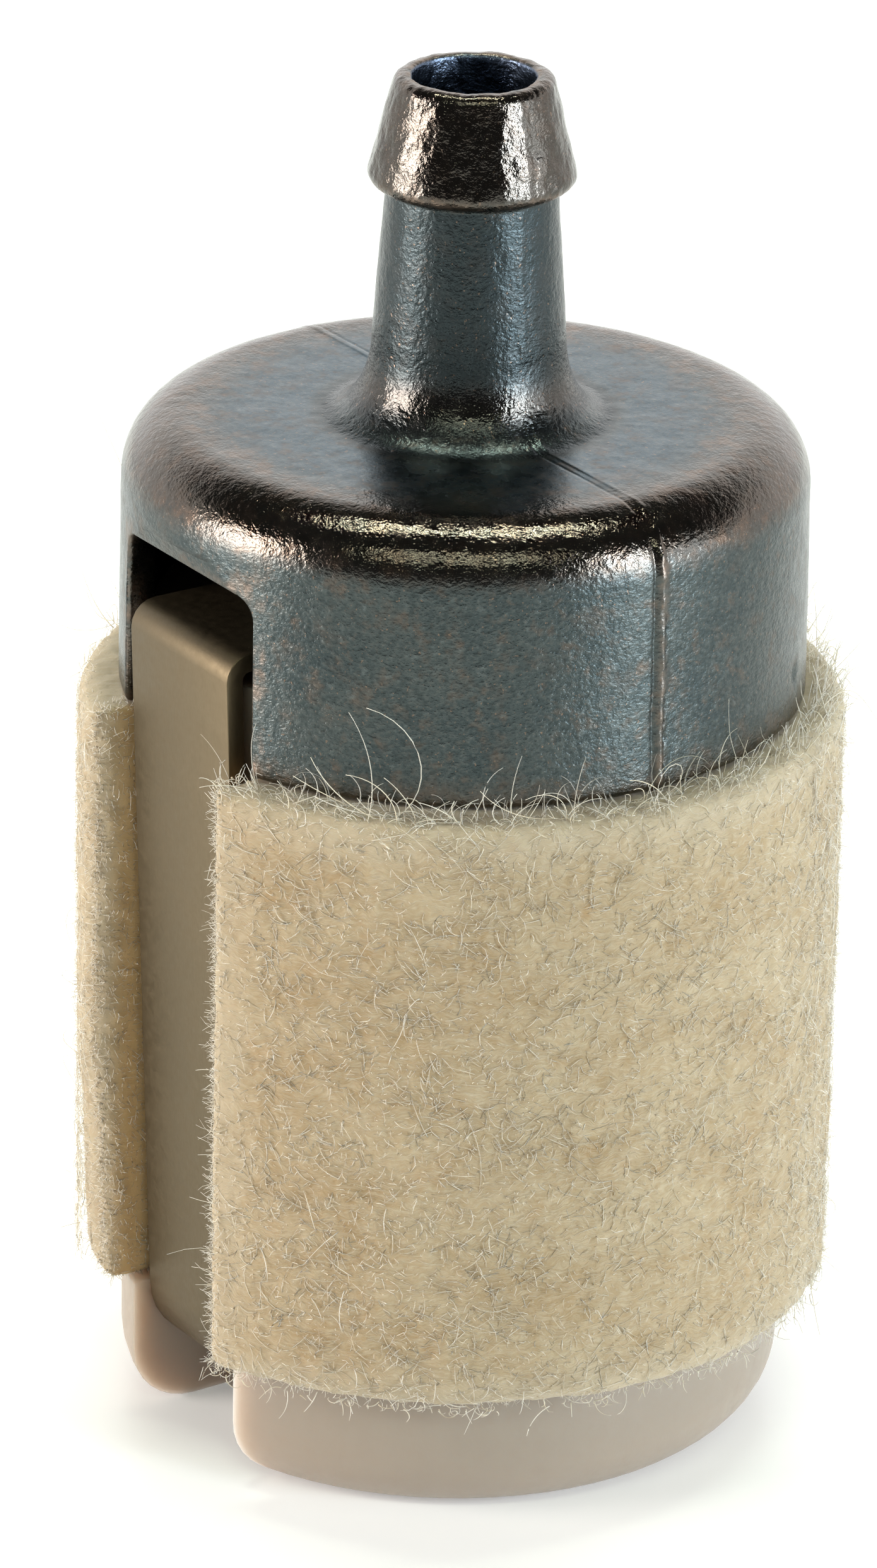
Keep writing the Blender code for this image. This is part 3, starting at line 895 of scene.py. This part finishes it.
def edge_hairs(rng, count, points, length, at_top=True):
    """Loose hairs that stand out of the sleeve's upper or lower edge."""
    opening = math.asin(FELT_HALF_OPENING / FELT_RADIUS)
    angle = -math.pi / 2 + rng.uniform(opening, math.tau - 0.9, count)
    edge = FELT_HIGH.z if at_top else FELT_LOW.z
    position, outward, sideways, upward = felt_frame(angle, np.full(count, edge))
    inset = rng.uniform(0.1, 1.0, count) if at_top else rng.uniform(0.05, 0.5, count)
    position -= outward * (inset * MM)[:, None]
    reach = length * np.exp(rng.normal(0, 0.55, count)) * MM
    lean = rng.normal(0, 0.9, count)
    curl = rng.normal(0, 1.9, count)
    bow = rng.normal(0.15, 0.35, count)
    t = np.linspace(0, 1, points)[None, :]
    turn = lean[:, None] + curl[:, None] * t
    step = reach[:, None] / (points - 1)
    sense = 1 if at_top else -1
    across = np.cumsum(np.sin(turn) * step, axis=1) - np.sin(turn[:, :1]) * step
    up = (np.cumsum(np.cos(turn) * step, axis=1) - np.cos(turn[:, :1]) * step) * sense
    up = np.maximum(up * sense, -0.25 * MM) * sense
    out = bow[:, None] * t * reach[:, None]
    lines = position[:, None] + sideways[:, None] * across[..., None]
    lines = lines + upward[:, None] * up[..., None] + outward[:, None] * out[..., None]
    radius = np.hypot(lines[..., 0], lines[..., 1])
    least = HEAD_RADIUS + 0.06 * MM
    scale = np.maximum(radius, least) / radius
    lines[..., :2] *= scale[..., None]
    thickness = rng.uniform(0.009, 0.017, count)[:, None] * (1 - 0.5 * t**2) * MM
    return lines, thickness


def make_fibres(material, felt):
    rng = np.random.default_rng(SEED)
    amount = 1.0
    for name, (count, points, length) in (
        ("felt_pile_a", PILE),
        ("felt_pile_b", PILE),
        ("felt_pile_ends", END_PILE),
    ):
        count = int(count * amount)
        at_ends = name == "felt_pile_ends"
        lines, thickness = pile_fibres(rng, felt, count, points, length, at_ends)
        tubes(name, lines, thickness, rng.random(count), material)
    for name, (count, points, length), lift, tint_power in (
        ("felt_fibres_a", LYING, 0.12, 1.5),
        ("felt_fibres_b", LYING, 0.12, 1.5),
        ("felt_fibres_loose", LOOSE, 0.5, 1.0),
    ):
        count = int(count * amount)
        lines, thickness = surface_fibres(rng, count, points, length, lift)
        tubes(name, lines, thickness, rng.random(count) ** tint_power, material)
    for name, (count, points, length) in (
        ("felt_hairs_top", TOP_HAIRS),
        ("felt_hairs_long", LONG_HAIRS),
        ("felt_hairs_bottom", BOTTOM_HAIRS),
    ):
        at_top = name != "felt_hairs_bottom"
        lines, thickness = edge_hairs(rng, count, points, length, at_top)
        tubes(name, lines, thickness, rng.random(count), material)


# ---------------------------------------------------------------- strap, cage, inner pieces


def make_strap(material):
    strap = refined_copy("strap_clip", "strap_strip", STRAP_EDGE, 3)
    finish_piece(strap, material, "strap_clip")


def make_cage(material):
    cage = refined_copy("cage", "cage_moulding", CAGE_EDGE, 3)
    finish_piece(cage, material, "cage")


def dress(node, material):
    """Gives a CAD node that is shown as it is its material."""
    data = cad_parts[node].data
    data.materials.clear()
    data.materials.append(material)


# ---------------------------------------------------------------- camera and light


CAMERA_AZIMUTH = math.radians(56)
CAMERA_ELEVATION = 0.398
CAMERA_DISTANCE = 219.6 * MM
CAMERA_ROLL = 0.020
CAMERA_LENS = 189.35
AIM_HEIGHT = 18 * MM
AIM_RIGHT = 0.570 * MM
AIM_UP = 0.491 * MM

LIGHT_DISTANCE = 0.6
WINDOW_WARM = (1.0, 0.92, 0.87)
WINDOW_COOL = (0.84, 0.93, 1.0)


def direction(azimuth, elevation):
    """The unit vector from the part towards these angles in radians; azimuth 0 is -Y."""
    level = math.cos(elevation)
    return Vector((math.sin(azimuth) * level, -math.cos(azimuth) * level, math.sin(elevation)))


def view_axes():
    """The camera's backward, rightward and upward directions before its small roll."""
    back = direction(CAMERA_AZIMUTH, CAMERA_ELEVATION)
    right = Vector((math.cos(CAMERA_AZIMUTH), math.sin(CAMERA_AZIMUTH), 0))
    return back, right, back.cross(right)


def make_camera():
    back, right, up = view_axes()
    rolled_right = right * math.cos(CAMERA_ROLL) + up * math.sin(CAMERA_ROLL)
    rolled_up = back.cross(rolled_right)
    turn = Matrix((rolled_right, rolled_up, back)).transposed().to_4x4()
    aim = Vector((0, 0, AIM_HEIGHT)) - rolled_right * AIM_RIGHT - rolled_up * AIM_UP
    data = bpy.data.cameras.new("camera")
    data.lens = CAMERA_LENS
    data.clip_start = 0.01
    data.clip_end = 10
    camera = placed("camera", data)
    camera.matrix_world = Matrix.Translation(aim + back * CAMERA_DISTANCE) @ turn
    bpy.context.scene.camera = camera


def add_softbox(name, azimuth, elevation, size, power, colour):
    """A rectangle of light aimed at the part; azimuth is counted from the camera's."""
    back = direction(CAMERA_AZIMUTH + math.radians(azimuth), math.radians(elevation))
    data = bpy.data.lights.new(name, "AREA")
    data.shape = "RECTANGLE"
    data.size, data.size_y = size
    data.energy = power
    data.color = colour
    light = placed(name, data)
    light.location = Vector((0, 0, AIM_HEIGHT)) + back * LIGHT_DISTANCE
    light.rotation_mode = "QUATERNION"
    light.rotation_quaternion = back.to_track_quat("Z", "Y")
    light.visible_camera = False


def make_lights():
    add_softbox("window_left", -78, 12, (0.26, 0.26), 4.0, WINDOW_WARM)
    add_softbox("window_right", 57, 14, (0.15, 0.31), 3.4, WINDOW_COOL)
    add_softbox("window_far", 80, 10, (0.20, 0.22), 0.5, WINDOW_COOL)
    add_softbox("tube_near", 0, 46, (0.55, 0.028), 0.8, (0.90, 1.0, 0.80))
    add_softbox("tube_far", 0, 97, (0.45, 0.013), 2.2, (0.90, 1.0, 0.84))


def make_world():
    """A pale studio: white low down and behind the part, darker above the camera."""
    world = bpy.data.worlds.new("studio")
    bpy.context.scene.world = world
    world.use_nodes = True
    tree = world.node_tree
    background = tree.nodes["Background"]
    background.inputs["Color"].default_value = (1.0, 0.99, 0.975, 1)
    back = direction(CAMERA_AZIMUTH, CAMERA_ELEVATION)
    dark_centre = Vector((back.x, back.y, 1.75)).normalized()
    place = tree.nodes.new("ShaderNodeTexCoord")
    towards = tree.nodes.new("ShaderNodeVectorMath")
    towards.operation = "DOT_PRODUCT"
    towards.inputs[1].default_value = dark_centre
    tree.links.new(place.outputs["Generated"], towards.inputs[0])
    strength = tree.nodes.new("ShaderNodeMapRange")
    ramp = {"From Min": 0.10, "From Max": 0.34, "To Min": 1.6, "To Max": 0.08}
    for name, value in ramp.items():
        strength.inputs[name].default_value = value
    tree.links.new(towards.outputs["Value"], strength.inputs["Value"])
    tree.links.new(strength.outputs["Result"], background.inputs["Strength"])


def make_floor():
    floor = add_mesh("floor", [(-2, -2, 0), (2, -2, 0), (2, 2, 0), (-2, 2, 0)], [(0, 1, 2, 3)])
    g = Graph("floor_paper")
    colour = g.mix(g.noise(40), (0.86, 0.86, 0.86), (0.84, 0.84, 0.84))
    g.shade(Base_Color=colour, Roughness=0.32, Emission_Color=(1, 1, 1, 1), Emission_Strength=0.22)
    floor.data.materials.append(g.material)


bpy.context.scene.view_settings.view_transform = "Standard"
make_head(zinc_material())
make_fibres(fibre_material(), make_felt(felt_material()))
make_strap(steel_material())
make_cage(nylon_material())
dress("screen", screen_material())
dress("seal_ring", rubber_material())
make_camera()
make_lights()
make_world()
make_floor()
